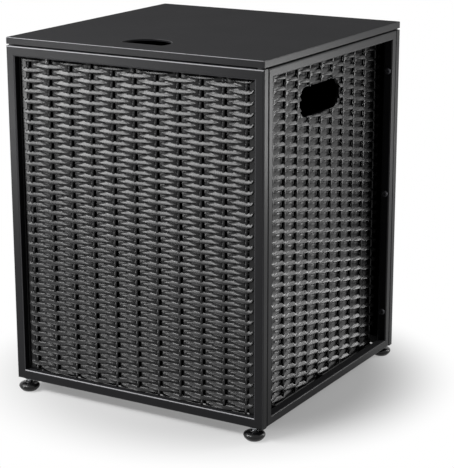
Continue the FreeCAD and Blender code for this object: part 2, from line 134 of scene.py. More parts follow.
# %% Soft boxes
# Place, aim, width and height in metres, and how bright the box's face is
SOFT_BOXES = {
    "left_box": {"place": (-0.95, -0.80, 1.07), "aim": (-0.1, -0.2, 0.42),
                 "size": (0.52, 0.36), "radiance": 25.0},
    "front_box": {"place": (-0.42, -1.12, 1.20), "aim": (0.0, -0.2, 0.42),
                  "size": (0.56, 0.36), "radiance": 25.0},
    "low_front_box": {"place": (-0.76, -1.05, 0.23), "aim": (-0.1, -0.2, 0.42),
                      "size": (0.36, 0.24), "radiance": 16.0},
    "top_box": {"place": (-0.62, -0.50, 1.45), "aim": (0.0, -0.2, 0.50),
                "size": (0.60, 0.12), "radiance": 8.0},
    "rear_box": {"place": (0.70, 0.65, 0.25), "aim": (0.2, -0.2, 0.42),
                 "size": (0.10, 0.22), "radiance": 28.0},
    "right_rear_box": {"place": (1.02, 0.80, 0.76), "aim": (0.2, -0.1, 0.34),
                       "size": (0.30, 0.36), "radiance": 12.0},
}
print("soft boxes:", ", ".join(SOFT_BOXES))

# %% World
# Strength of the world's own light. Rays that see the world directly meet the paper's white.
AMBIENT = 0.08


def seen_directly(tree):
    """Output that is 1 for camera, glossy and transmission rays, and 0 for the rest."""
    path = add_node(tree, "ShaderNodeLightPath")
    first = add_node(tree, "ShaderNodeMath", operation="MAXIMUM",
                     links={0: path.outputs["Is Camera Ray"], 1: path.outputs["Is Glossy Ray"]})
    both = add_node(tree, "ShaderNodeMath", operation="MAXIMUM",
                    links={0: first.outputs[0], 1: path.outputs["Is Transmission Ray"]})
    return both.outputs[0]


def add_world():
    """World of plain grey light that shows as white paper."""
    world = bpy.data.worlds.new("white_paper")
    world.use_nodes = True
    tree = world.node_tree
    tree.nodes.clear()
    white = hex_to_linear("#ffffff")
    light = add_node(tree, "ShaderNodeBackground", {"Color": white, "Strength": AMBIENT})
    paper = add_node(tree, "ShaderNodeBackground", {"Color": white, "Strength": 1.0})
    mix = add_node(tree, "ShaderNodeMixShader", links={0: seen_directly(tree), 1: light.outputs[0],
                                                       2: paper.outputs[0]})
    add_node(tree, "ShaderNodeOutputWorld", links={"Surface": mix.outputs[0]})
    bpy.context.scene.world = world


add_world()
print("light of the world itself:", AMBIENT)


# %% Place the lights
def add_soft_box(name, place, aim, size, radiance):
    """Rectangular area light that faces a point. Its power is radiance times area times pi."""
    data = bpy.data.lights.new(name, "AREA")
    data.shape = "RECTANGLE"
    data.size, data.size_y = size
    data.energy = radiance * size[0] * size[1] * np.pi
    light = bpy.data.objects.new(name, data)
    light.location = place
    light.rotation_euler = (Vector(place) - Vector(aim)).to_track_quat("Z", "Y").to_euler()
    light.visible_camera = False
    bpy.context.scene.collection.objects.link(light)


for name, box in SOFT_BOXES.items():
    add_soft_box(name, **box)
bpy.context.scene.view_settings.view_transform = "Standard"

# %% [markdown]
# ## The floor
# The object stands on the same white paper. A white floor could be lit until it is white, but
# that would light the object too. So the paper shines by itself away from the object, and near
# the object it is mostly a plain surface that keeps the shadow. It is darker for light that
# bounces off it, so that little of that light reaches the object from below.

# %% Floor
FLOOR_RADIUS = 9.0
FLOOR_CORNERS = 96
# Share of the paper's own white near the object, and the distances where that share begins to
# grow and where it is full
FLOOR_PAPER_NEAR = 0.25
FLOOR_NEAR = 0.22
FLOOR_FAR = 0.38


def add_floor():
    """Round sheet of pale paper: part of its brightness is its own white, the rest keeps the shadow."""
    angles = np.linspace(0, 2 * np.pi, FLOOR_CORNERS, endpoint=False)
    ring = np.stack([np.cos(angles), np.sin(angles), 0 * angles], axis=1) * FLOOR_RADIUS
    mesh = bpy.data.meshes.new("floor")
    mesh.from_pydata(ring.tolist(), [], [list(range(FLOOR_CORNERS))])
    floor = bpy.data.objects.new("floor", mesh)
    bpy.context.scene.collection.objects.link(floor)
    material = bpy.data.materials.new("white_paper_floor")
    material.use_nodes = True
    tree = material.node_tree
    tree.nodes.clear()
    direct = seen_directly(tree)
    card = add_node(tree, "ShaderNodeMix", {"A": hex_to_linear("#808080"), "B": hex_to_linear("#c0c0c0")},
                    {0: direct}, data_type="RGBA")
    diffuse = add_node(tree, "ShaderNodeBsdfDiffuse", links={"Color": card.outputs["Result"]})
    paper = add_node(tree, "ShaderNodeEmission", {"Color": hex_to_linear("#ffffff"), "Strength": 1.0})
    place = add_node(tree, "ShaderNodeTexCoord")
    away = add_node(tree, "ShaderNodeVectorMath", links={0: place.outputs["Object"]}, operation="LENGTH")
    white = add_node(tree, "ShaderNodeMapRange", {"From Min": FLOOR_NEAR, "From Max": FLOOR_FAR,
                                                  "To Min": FLOOR_PAPER_NEAR, "To Max": 1.0},
                     {"Value": away.outputs["Value"]}, interpolation_type="SMOOTHSTEP")
    share = add_node(tree, "ShaderNodeMath", links={0: direct, 1: white.outputs[0]}, operation="MULTIPLY")
    mix = add_node(tree, "ShaderNodeMixShader", links={0: share.outputs[0], 1: diffuse.outputs[0],
                                                       2: paper.outputs[0]})
    add_node(tree, "ShaderNodeOutputMaterial", links={"Surface": mix.outputs[0]})
    mesh.materials.append(material)


add_floor()
print("floor radius", FLOOR_RADIUS, "m")

# %% [markdown]
# ## Material helpers
# Every surface starts as an empty Principled material. A pattern could be an image, but noise
# on the piece's own coordinates has a size in millimetres and no seams. A pixel of this picture
# covers about 1.4 mm, so finer patterns, such as the speckle and the lathe marks, blend into an
# even tone here. They are kept fine all the same, so that they look right from nearer.

# %% Material helpers
# Most values of a noise lie between these two
NOISE_LOW = 0.3
NOISE_HIGH = 0.7


def new_material(name):
    """Empty material with a Principled shader wired to its output; gives its tree and shader."""
    material = bpy.data.materials.new(name)
    material.use_nodes = True
    tree = material.node_tree
    tree.nodes.clear()
    shader = add_node(tree, "ShaderNodeBsdfPrincipled")
    add_node(tree, "ShaderNodeOutputMaterial", links={"Surface": shader.outputs[0]})
    return material, tree, shader


def object_pattern(tree, per_metre):
    """Object coordinates scaled so that one unit of a pattern has the given size."""
    place = add_node(tree, "ShaderNodeTexCoord")
    scale = tuple(per_metre) if np.ndim(per_metre) else (per_metre,) * 3
    mapping = add_node(tree, "ShaderNodeMapping", {"Scale": scale}, {"Vector": place.outputs["Object"]})
    return mapping.outputs[0]


def colour_range(tree, factor, dark, light):
    """Colour from dark to light over the middle of a noise's range, where most of its values lie."""
    share = add_node(tree, "ShaderNodeMapRange", {"From Min": NOISE_LOW, "From Max": NOISE_HIGH},
                     {"Value": factor})
    mix = add_node(tree, "ShaderNodeMix", {"A": hex_to_linear(dark), "B": hex_to_linear(light)},
                   {0: share.outputs[0]}, data_type="RGBA")
    return mix.outputs["Result"]


print("colours change between", NOISE_LOW, "and", NOISE_HIGH, "of a noise")

# %% [markdown]
# ## Powder-coated steel
# The tubes and the lid are coated with dry polyester powder that is baked until it flows. It
# gives the eye a satin charcoal skin with a faint orange peel a millimetre or two across and a
# very slight speckle. Faces that look up are duller, as if dusty. The object shows thin bright
# lines along its front edges, which are a painted highlight: a lamp for each could draw them, but
# it would light the rest too, so a light grey is painted on the upper rounded edges by the front.

# %% Powder coat
ORANGE_PEEL = 1.6 * MM
PEEL_DEPTH = 0.05 * MM
SPECKLE = 0.45 * MM
SOILING = 60 * MM
COAT_DARK = "#0f0f11"
COAT_LIGHT = "#151517"
# Light grey painted on the upper front rounded edges as a highlight
COAT_PAINTED_HIGHLIGHT = "#8c8c8f"
COAT_ROUGHNESS = (0.33, 0.41)
COAT_SPECULAR = 0.15
# Largest part of the normal: a face begins to be an edge at the first, and is one at the second
EDGE_BEGINS = 0.95
EDGE_FULL = 0.84
# How far an edge must look up for the full painted highlight, and the share left on edges that don't
UPWARD_FULL = 0.35
UPWARD_LEAST = 0.25
# Place along Y where the painted highlight begins and is full, and the share that is left behind it
FRONT_BEGINS = -190 * MM
FRONT_FULL = -198 * MM
FRONT_LEAST = 0.1
# Upward part of the normal where dust begins and is full, and the roughness that it adds
DUST_BEGINS = 0.75
DUST_FULL = 0.97
DUST_ROUGHNESS = 0.58


def painted_edge_highlight(tree):
    """Share of the painted edge highlight, rounded x upward x forward: the normal's largest part
    falls off on a rounded edge, its Z part tells the upper edges, and the place along Y tells the front."""
    surface = add_node(tree, "ShaderNodeNewGeometry")
    facing = add_node(tree, "ShaderNodeSeparateXYZ", links={0: surface.outputs["Normal"]})
    positive = add_node(tree, "ShaderNodeVectorMath", links={0: surface.outputs["Normal"]},
                        operation="ABSOLUTE")
    parts = add_node(tree, "ShaderNodeSeparateXYZ", links={0: positive.outputs[0]})
    wider = add_node(tree, "ShaderNodeMath", links={0: parts.outputs["X"], 1: parts.outputs["Y"]},
                     operation="MAXIMUM")
    widest = add_node(tree, "ShaderNodeMath", links={0: wider.outputs[0], 1: parts.outputs["Z"]},
                      operation="MAXIMUM")
    rounded = add_node(tree, "ShaderNodeMapRange", {"From Min": EDGE_BEGINS, "From Max": EDGE_FULL},
                       {"Value": widest.outputs[0]})
    upward = add_node(tree, "ShaderNodeMapRange",
                      {"From Min": 0.0, "From Max": UPWARD_FULL, "To Min": UPWARD_LEAST},
                      {"Value": facing.outputs["Z"]})
    spot = add_node(tree, "ShaderNodeTexCoord")
    depth = add_node(tree, "ShaderNodeSeparateXYZ", links={0: spot.outputs["Object"]})
    forward = add_node(tree, "ShaderNodeMapRange",
                       {"From Min": FRONT_BEGINS, "From Max": FRONT_FULL, "To Min": FRONT_LEAST},
                       {"Value": depth.outputs["Y"]})
    reached = add_node(tree, "ShaderNodeMath", links={0: upward.outputs[0], 1: forward.outputs[0]},
                       operation="MULTIPLY")
    share = add_node(tree, "ShaderNodeMath", links={0: rounded.outputs[0], 1: reached.outputs[0]},
                     operation="MULTIPLY")
    return share.outputs[0], facing.outputs["Z"]


def powder_coated_steel(name):
    """Charcoal polyester powder coat: satin, with orange peel, speckle, slight soiling, dust and a
    painted edge highlight.
    """
    material, tree, shader = new_material(name)
    peel = add_node(tree, "ShaderNodeTexNoise", {"Scale": 1.0, "Detail": 2.0, "Roughness": 0.45},
                    {"Vector": object_pattern(tree, 1 / ORANGE_PEEL)})
    speckle = add_node(tree, "ShaderNodeTexNoise", {"Scale": 1.0, "Detail": 1.0},
                       {"Vector": object_pattern(tree, 1 / SPECKLE)})
    patches = add_node(tree, "ShaderNodeTexNoise", {"Scale": 1.0, "Detail": 3.0},
                       {"Vector": object_pattern(tree, 1 / SOILING)})
    highlight_share, up = painted_edge_highlight(tree)
    coat = colour_range(tree, speckle.outputs[0], COAT_DARK, COAT_LIGHT)
    # The upper front rounded edges take the light grey as a painted highlight
    colour = add_node(tree, "ShaderNodeMix", {"B": hex_to_linear(COAT_PAINTED_HIGHLIGHT)}, {0: highlight_share, "A": coat},
                      data_type="RGBA")
    rough = add_node(tree, "ShaderNodeMapRange",
                     {"To Min": COAT_ROUGHNESS[0], "To Max": COAT_ROUGHNESS[1]},
                     {"Value": patches.outputs[0]})
    dust = add_node(tree, "ShaderNodeMapRange",
                    {"From Min": DUST_BEGINS, "From Max": DUST_FULL, "To Max": DUST_ROUGHNESS},
                    {"Value": up}, interpolation_type="SMOOTHSTEP")
    dusty = add_node(tree, "ShaderNodeMath", links={0: rough.outputs[0], 1: dust.outputs[0]},
                     operation="ADD")
    normal = add_node(tree, "ShaderNodeBump", {"Distance": PEEL_DEPTH, "Strength": 0.6},
                      {"Height": peel.outputs[0]})
    tree.links.new(colour.outputs["Result"], shader.inputs["Base Color"])
    tree.links.new(dusty.outputs[0], shader.inputs["Roughness"])
    tree.links.new(normal.outputs[0], shader.inputs["Normal"])
    shader.inputs["Specular IOR Level"].default_value = COAT_SPECULAR
    return material


# The lighter front edges are a painted highlight
print("orange peel", ORANGE_PEEL / MM, "mm, edges paler from y", FRONT_BEGINS / MM, "mm forward")

# %% [markdown]
# ## Wicker resin
# The panels are moulded from charcoal resin. It gives the eye smooth dark strands with a soft
# highlight each, and a faint grain that runs along the strand. The grain could run one way over
# the whole panel, but real strands carry it round their bends, so it follows the piece's own UV.

# %% Wicker resin
GRAIN_LENGTH = 9 * MM
GRAIN_WIDTH = 0.8 * MM
GRAIN_DEPTH = 0.01 * MM
GLOSS_PATCH = 7 * MM
RESIN_DARK = "#0a0a0b"
RESIN_LIGHT = "#101011"
RESIN_ROUGHNESS = (0.24, 0.32)
RESIN_SPECULAR = 0.22


def wicker_resin(name):
    """Charcoal moulded resin: the mould's fine grain runs along each strand, in the piece's UV."""
    material, tree, shader = new_material(name)
    place = add_node(tree, "ShaderNodeUVMap", uv_map="along")
    grain_map = add_node(tree, "ShaderNodeMapping", {"Scale": (1 / GRAIN_LENGTH, 1 / GRAIN_WIDTH, 1)},
                         {"Vector": place.outputs[0]})
    grain = add_node(tree, "ShaderNodeTexNoise", {"Scale": 1.0, "Detail": 3.0, "Roughness": 0.6},
                     {"Vector": grain_map.outputs[0]})
    patches = add_node(tree, "ShaderNodeTexNoise", {"Scale": 1.0, "Detail": 2.0},
                       {"Vector": object_pattern(tree, 1 / GLOSS_PATCH)})
    rough = add_node(tree, "ShaderNodeMapRange",
                     {"To Min": RESIN_ROUGHNESS[0], "To Max": RESIN_ROUGHNESS[1]},
                     {"Value": patches.outputs[0]})
    normal = add_node(tree, "ShaderNodeBump", {"Distance": GRAIN_DEPTH, "Strength": 0.1},
                      {"Height": grain.outputs[0]})
    colour = colour_range(tree, grain.outputs[0], RESIN_DARK, RESIN_LIGHT)
    tree.links.new(colour, shader.inputs["Base Color"])
    tree.links.new(rough.outputs[0], shader.inputs["Roughness"])
    tree.links.new(normal.outputs[0], shader.inputs["Normal"])
    shader.inputs["Specular IOR Level"].default_value = RESIN_SPECULAR
    return material


print("grain", GRAIN_LENGTH / MM, "x", GRAIN_WIDTH / MM, "mm")

# %% [markdown]
# ## Fasteners, plastics and rubber
# Bolts, screws, inserts and studs are steel with a zinc or a black finish. They get faint level
# marks, which on the upright studs run round the axis, as from a lathe. Pads and sleeves are
# moulded nylon and the lid's bumpers rubber. The black sheet behind the weave is painted shade
# that keeps its slots dark. Each could have a finish of its own, but two recipes with other numbers do.

# %% Other materials
# Length and spacing of the level marks, and by how much they change the roughness
LATHE_WIDTH = 4 * MM
LATHE_PITCH = 0.25 * MM
STEEL_UNEVEN = 0.12
# Size and depth of the uneven patches, and by how much they change the roughness
MOULD_CLOUD = 3 * MM
MOULD_DEPTH = 0.02 * MM
BLACK_UNEVEN = 0.08


def finished_steel(name, dark, light, roughness):
    """Plated or blackened steel: metal with faint level marks, short in Z and long in X and Y."""
    material, tree, shader = new_material(name)
    scale = (1 / LATHE_WIDTH, 1 / LATHE_WIDTH, 1 / LATHE_PITCH)
    marks = add_node(tree, "ShaderNodeTexNoise", {"Scale": 1.0, "Detail": 2.0},
                     {"Vector": object_pattern(tree, scale)})
    rough = add_node(tree, "ShaderNodeMapRange",
                     {"To Min": roughness, "To Max": roughness + STEEL_UNEVEN},
                     {"Value": marks.outputs[0]})
    tree.links.new(colour_range(tree, marks.outputs[0], dark, light), shader.inputs["Base Color"])
    tree.links.new(rough.outputs[0], shader.inputs["Roughness"])
    shader.inputs["Metallic"].default_value = 1.0
    return material


def plain_black(name, dark, light, roughness, specular):
    """Black plastic, rubber, or the black sheet of painted shade behind the weave, with a slightly uneven
    gloss.
    """
    material, tree, shader = new_material(name)
    cloud = add_node(tree, "ShaderNodeTexNoise", {"Scale": 1.0, "Detail": 3.0},
                     {"Vector": object_pattern(tree, 1 / MOULD_CLOUD)})
    rough = add_node(tree, "ShaderNodeMapRange",
                     {"To Min": roughness, "To Max": roughness + BLACK_UNEVEN},
                     {"Value": cloud.outputs[0]})
    normal = add_node(tree, "ShaderNodeBump", {"Distance": MOULD_DEPTH, "Strength": 0.5},
                      {"Height": cloud.outputs[0]})
    tree.links.new(colour_range(tree, cloud.outputs[0], dark, light), shader.inputs["Base Color"])
    tree.links.new(rough.outputs[0], shader.inputs["Roughness"])
    tree.links.new(normal.outputs[0], shader.inputs["Normal"])
    shader.inputs["Specular IOR Level"].default_value = specular
    return material


MATERIALS = {
    # satin charcoal tubes and lid, with a painted highlight on the upper front edges
    "powder_coated_steel": powder_coated_steel("powder_coated_steel"),
    # smooth dark strands, each with its highlight
    "wicker_resin": wicker_resin("moulded_wicker_resin"),
    # bright studs above the pads, and hidden inserts and screws
    "zinc_plated_steel": finished_steel("zinc_plated_steel", "#8d8f92", "#a6a8ab", roughness=0.28),
    # dark bolt heads that gleam dully
    "blackened_steel": finished_steel("blackened_steel", "#2e2e30", "#3e3e41", roughness=0.38),
    # glossy black pads with a clear highlight, and sleeves
    "black_plastic": plain_black("moulded_black_nylon", "#060607", "#0b0b0c",
                                 roughness=0.20, specular=0.3),
    # painted shade: a black sheet behind the slots, with no highlight
    "black_liner": plain_black("painted_shade_backing", "#020202", "#040404",
                               roughness=0.9, specular=0.0),
    # matt dark grey bumpers
    "black_rubber": plain_black("black_rubber", "#1a1a1b", "#202021", roughness=0.6, specular=0.4),
}
print("materials:", ", ".join(MATERIALS))

# %% [markdown]
# ## The weave
# Each panel is one moulding that copies a plain weave. A strand goes over every second stake
# as a slender leaf and ends in the hollow beside the next stake, where an open slot lies on
# both sides of that stake. A flat sheet with a bump would lose the slots and the outline, so
# every leaf is a closed surface: a roof-shaped section that is carried along a path which
# comes forward to a rounded crest over its stake.

# %% Sides
# Number of rows, distance between stakes, plain border at the top and bottom, which rows go over
# the first stake, the slot beside a stake, and how far a stake lies behind the panel's front and
# swings to and fro. The front and rear panels are inset in their frames, the side panels stand
# behind theirs. Turn is a side's angle about Z in degrees.
INSET = {"rows": 62, "pitch": 34.6 * MM, "border": 0.0, "first_over": 1, "slot": 2.4 * MM,
         "stake_front": 1.8 * MM, "stake_wave": 0.8 * MM}
BACKED = {"rows": 63, "pitch": 34.1 * MM, "border": 5.0 * MM, "first_over": 0, "slot": 0.9 * MM,
          "stake_front": 0.9 * MM, "stake_wave": 0.3 * MM}
SIDES = {
    "front": {"turn": 0, **INSET},
    "right": {"turn": 90, **BACKED},
    "rear": {"turn": 180, **INSET},
    "left": {"turn": 270, **BACKED},
}
# Stakes per panel, and half a stake's width
STAKES = 11
STAKE_HALF_WIDTH = 1.9 * MM
print("sides:", {side: (sizes["rows"], "rows", STAKES, "stakes") for side, sizes in SIDES.items()})

# %% [markdown]
# ## Shapes on a grid
# Leaves, stakes, bars, strips and rings are all the same kind of shape: a section carried along
# a path. Each could be a mesh of its own, but a panel has hundreds. So every kind is one numpy
# array of points, and one function turns any number of such arrays into a mesh.

# %% Faces of carried sections
def turned(points, degrees):
    """Points turned about the Z axis: x' = x cos - y sin, y' = x sin + y cos."""
    angle = np.radians(degrees)
    x, y, z = np.moveaxis(np.asarray(points, float), -1, 0)
    return np.stack([x * np.cos(angle) - y * np.sin(angle), x * np.sin(angle) + y * np.cos(angle), z], -1)


def tube_faces(tubes, stations, around, ring):
    """Faces of closed tubes laid out one after the other: quads along each, and its two ends.
    A ring's last station joins its first, so it has no ends."""
    tube, station, step = np.meshgrid(np.arange(tubes), np.arange(stations - 1 + ring), np.arange(around),
                                      indexing="ij")
    start = (tube * stations + station) * around
    ahead = (tube * stations + (station + 1) % stations) * around
    following = (step + 1) % around
    quads = np.stack([start + step, start + following, ahead + following, ahead + step], -1)
    quads = quads.reshape(-1, 4)
    if ring:
        return quads.tolist()
    first = np.arange(tubes)[:, None] * stations * around
    section = np.arange(around)[None, :]
    ends = np.concatenate([first + section[:, ::-1], first + (stations - 1) * around + section])
    return quads.tolist() + ends.tolist()


print("a tube of two stations and four points:", len(tube_faces(1, 2, 4, False)), "faces")

# %% Mesh of carried sections
# Each tube's pattern begins this much further on, so that neighbours differ
UV_SHIFT = 7 * MM


def mesh_from_tubes(name, parts, material, sharp_degrees=50):
    """One mesh from arrays of closed tubes (tube, station, point, xyz), each with how far along
    its tube a point lies and whether it is a ring. The UV map holds that distance and the one
    round the section."""
    points, faces, uvs = [], [], []
    for xyz, along, ring in parts:
        tubes, stations, around = xyz.shape[:3]
        offset = sum(len(p) for p in points)
        faces += [[offset + i for i in face] for face in tube_faces(tubes, stations, around, ring)]
        steps = np.linalg.norm(np.diff(xyz, axis=2), axis=-1)
        girth = np.concatenate([np.zeros((tubes, stations, 1)), np.cumsum(steps, axis=2)], axis=2)
        row_shift = np.arange(tubes)[:, None, None] * UV_SHIFT
        points.append(xyz.reshape(-1, 3))
        uvs.append(np.stack([along + row_shift, girth + row_shift], -1).reshape(-1, 2))
    mesh = bpy.data.meshes.new(name)
    mesh.from_pydata(np.concatenate(points).tolist(), [], faces)
    layer = mesh.uv_layers.new(name="along")
    corner = np.zeros(len(mesh.loops), dtype=np.int64)
    mesh.loops.foreach_get("vertex_index", corner)
    layer.data.foreach_set("uv", np.concatenate(uvs)[corner].astype(np.float32).ravel())
    mesh.shade_smooth()
    mesh.set_sharp_from_angle(angle=np.radians(sharp_degrees))
    mesh.materials.append(material)
    mesh.validate()
    piece = bpy.data.objects.new(name, mesh)
    bpy.context.scene.collection.objects.link(piece)
    return piece


def volume(piece):
    """Volume that a mesh encloses, which is positive when its faces point outward."""
    shape = bmesh.new()
    shape.from_mesh(piece.data)
    result = shape.calc_volume(signed=True)
    shape.free()
    return result


print("pattern shift", UV_SHIFT / MM, "mm from tube to tube")

# %% [markdown]
# ## Measures of a panel
# A panel's own box in the CAD tells where its weave starts and ends, so that it fits without
# another set of numbers. The box is turned back to the front, where right is X and depth is Y.

# %% Measures of a panel
def panel_space(side):
    """Lowest and highest corner of a side's CAD panel, turned back so that it faces the front."""
    corners = turned([tuple(c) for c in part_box(side + "_wicker_panel")], -SIDES[side]["turn"])
    return corners.min(axis=0), corners.max(axis=0)


def row_levels(side):
    """Bottom of a panel's first row and the height of one row."""
    low, high = panel_space(side)
    border = SIDES[side]["border"]
    return low[2] + border, (high[2] - low[2] - 2 * border) / SIDES[side]["rows"]


def edge_room(side):
    """Distance from the last stake's middle to the panel's edge."""
    low, high = panel_space(side)
    return (high[0] - low[0]) / 2 - SIDES[side]["pitch"] * (STAKES - 1) / 2


for side in SIDES:
    room = edge_room(side)
    print(side, "row", round(row_levels(side)[1] / MM, 2), "mm, edge room", round(room / MM, 2), "mm")

# %% [markdown]
# ## The hand hole
# The side panels have a long hole with rounded corners to carry the cover by. A Boolean could
# cut it, but it is slow and leaves untidy faces on hundreds of strands. So two formulas give
# half its length at a height and half its height at a place across, and strands end there.

# %% Hand hole
# Half its length and height, the radius of its corners and the height of its middle
HOLED = ("left", "right")
HOLE_HALF_LENGTH = 58.5 * MM
HOLE_HALF_HEIGHT = 21.25 * MM
HOLE_ROUND = 19.0 * MM
HOLE_LEVEL = 431.5 * MM


def hole_half_length(z):
    """Half the hand hole's length at a height: straight sides, then quarter circles."""
    rise = np.clip(np.abs(z - HOLE_LEVEL) - (HOLE_HALF_HEIGHT - HOLE_ROUND), 0, HOLE_ROUND)
    return HOLE_HALF_LENGTH - HOLE_ROUND + np.sqrt(HOLE_ROUND ** 2 - rise ** 2)


def hole_half_height(u):
    """Half the hand hole's height at a place across: straight in the middle, then quarter circles."""
    run = np.clip(np.abs(u) - (HOLE_HALF_LENGTH - HOLE_ROUND), 0, HOLE_ROUND)
    inside = HOLE_HALF_HEIGHT - HOLE_ROUND + np.sqrt(HOLE_ROUND ** 2 - run ** 2)
    return np.where(np.abs(u) < HOLE_HALF_LENGTH, inside, 0)


print("hand hole", 2 * HOLE_HALF_LENGTH / MM, "x", 2 * HOLE_HALF_HEIGHT / MM, "mm in", HOLED)

# %% [markdown]
# ## Leaves
# On the real panel a strand is widest over its stake and slips thinly behind the next ones. At
# the panel's edge it turns round the last stake into the row above. The hand hole cuts it off.
# Each could be a flat strip that is bent, but a section whose height and depth follow formulas
# along the path gives the roof shape, the taper and the thin ends of all leaves at once.

# %% Path of a strand
# Room in front of its crest, half its depth and the rounding of its crest
CREST_CLEARANCE = 0.1 * MM
WAVE = 2.6 * MM
CREST_ROUND = 2.0 * MM


def leaf_path(share, ends, pitch, row, curl, reach):
    """Centre line of a strand at shares from -1 to 1 of its length: across, up and depth.

    Over the stakes the depth is a tent with a rounded crest, w = 2 A (sqrt(u^2 + r^2) - r) / pitch.
    Past an edge stake the line is half an ellipse that climbs one row: u = e sin(a),
    z = row (1 - cos(a)) / 2, w = A (1 - cos(a)).
    """
    across = ends[0] + (ends[1] - ends[0]) * (share + 1) / 2
    angle = np.pi * np.abs(share)
    bend = 1 - np.cos(angle)
    tent = 2 * WAVE * (np.hypot(across, CREST_ROUND) - CREST_ROUND) / pitch
    depth = np.where(curl, WAVE * bend, tent)
    across = np.where(curl, np.sign(share) * reach * np.sin(angle), across)
    up = np.where(curl, row * bend / 2, 0 * across)
    return across, up, depth


print("a strand goes", 2 * WAVE / MM, "mm deep")

# %% Places of the leaves
# What the hand hole leaves of a strand is dropped below this length
SHORTEST_LEAF = 3 * MM


def leaf_places(side, holed):
    """Stake, middle, height, ends and cut of every strand that goes over a stake, one per row of
    each array. Rows that meet the hand hole end at it, and what is too short is left out."""
    pitch = SIDES[side]["pitch"]
    bottom, row = row_levels(side)
    rows, stakes = np.meshgrid(np.arange(SIDES[side]["rows"]), np.arange(STAKES), indexing="ij")
    over = (rows + stakes + SIDES[side]["first_over"]) % 2 == 0
    rows, stakes = rows[over][:, None], stakes[over][:, None]
    centre = (stakes - (STAKES - 1) / 2) * pitch
    level = bottom + row * (rows + 0.5)
    half = pitch - STAKE_HALF_WIDTH - SIDES[side]["slot"]
    starts, stops = 0 * centre - half, 0 * centre + half
    cut = 0 * centre
    if holed:
        crossing = np.abs(level - HOLE_LEVEL) < HOLE_HALF_HEIGHT
        room = hole_half_length(level)
        on_left = crossing & (centre <= 0)
        on_right = crossing & (centre > 0)
        stops = np.where(on_left, np.minimum(stops, -room - centre), stops)
        starts = np.where(on_right, np.maximum(starts, room - centre), starts)
        cut = np.where(on_left, -1, np.where(on_right, 1, 0))
    kept = (stops - starts > SHORTEST_LEAF)[:, 0]
    return [array[kept] for array in (stakes, centre, level, starts, stops, cut)]


print("leaves:", {side: leaf_places(side, side in HOLED)[0].shape[0] for side in SIDES})

# %% Section of a leaf
# Half height at the crest and at the tip, how far away the tip lies, and the taper's power
LEAF_HALF_HEIGHT = 3.35 * MM
LEAF_TIP = 0.2 * MM
LEAF_REACH = 24.0 * MM
LEAF_POWER = 2.25
# How deep the roof is at the crest and at the tip
RELIEF = 2.9 * MM
RELIEF_TIP = 0.3 * MM
# The thin flanges above and below a leaf: thickness, how fast they grow and how far they overlap
FLANGE_SHEET = 0.8 * MM
FLANGE_GROWTH = 1.7
ROW_OVERLAP = 0.25 * MM
# Where a strand turns round the last stake: half height, and the most of the room that it takes
CURL_HALF_HEIGHT = 3.0 * MM
CURL_SHARE = 0.45
# From the upper flange over the ridge to the lower flange and the back: height as a share of a
# half height, depth as a share of the relief, and what the point belongs to, which is the leaf
# (0), a flange (1) or the flange's back (2)
LEAF_SECTION = np.array([
    (1.00, 1.35, 1), (1.00, 1.00, 0), (0.62, 0.74, 0), (0.02, 0.38, 0), (-0.60, 0.03, 0),
    (-0.74, 0.00, 0), (-0.90, 0.22, 0), (-1.00, 0.80, 0), (-1.00, 1.35, 1), (-1.00, 1.35, 2),
    (1.00, 1.35, 2),
])
print("a leaf's section has", len(LEAF_SECTION), "points")

# %% Leaves
# Steps along half a leaf, the share of its length that tells its direction, and a number that
# keeps divisions from zero
STATIONS_PER_HALF = 6
PATH_STEP = 1e-3
TINY = 1e-9


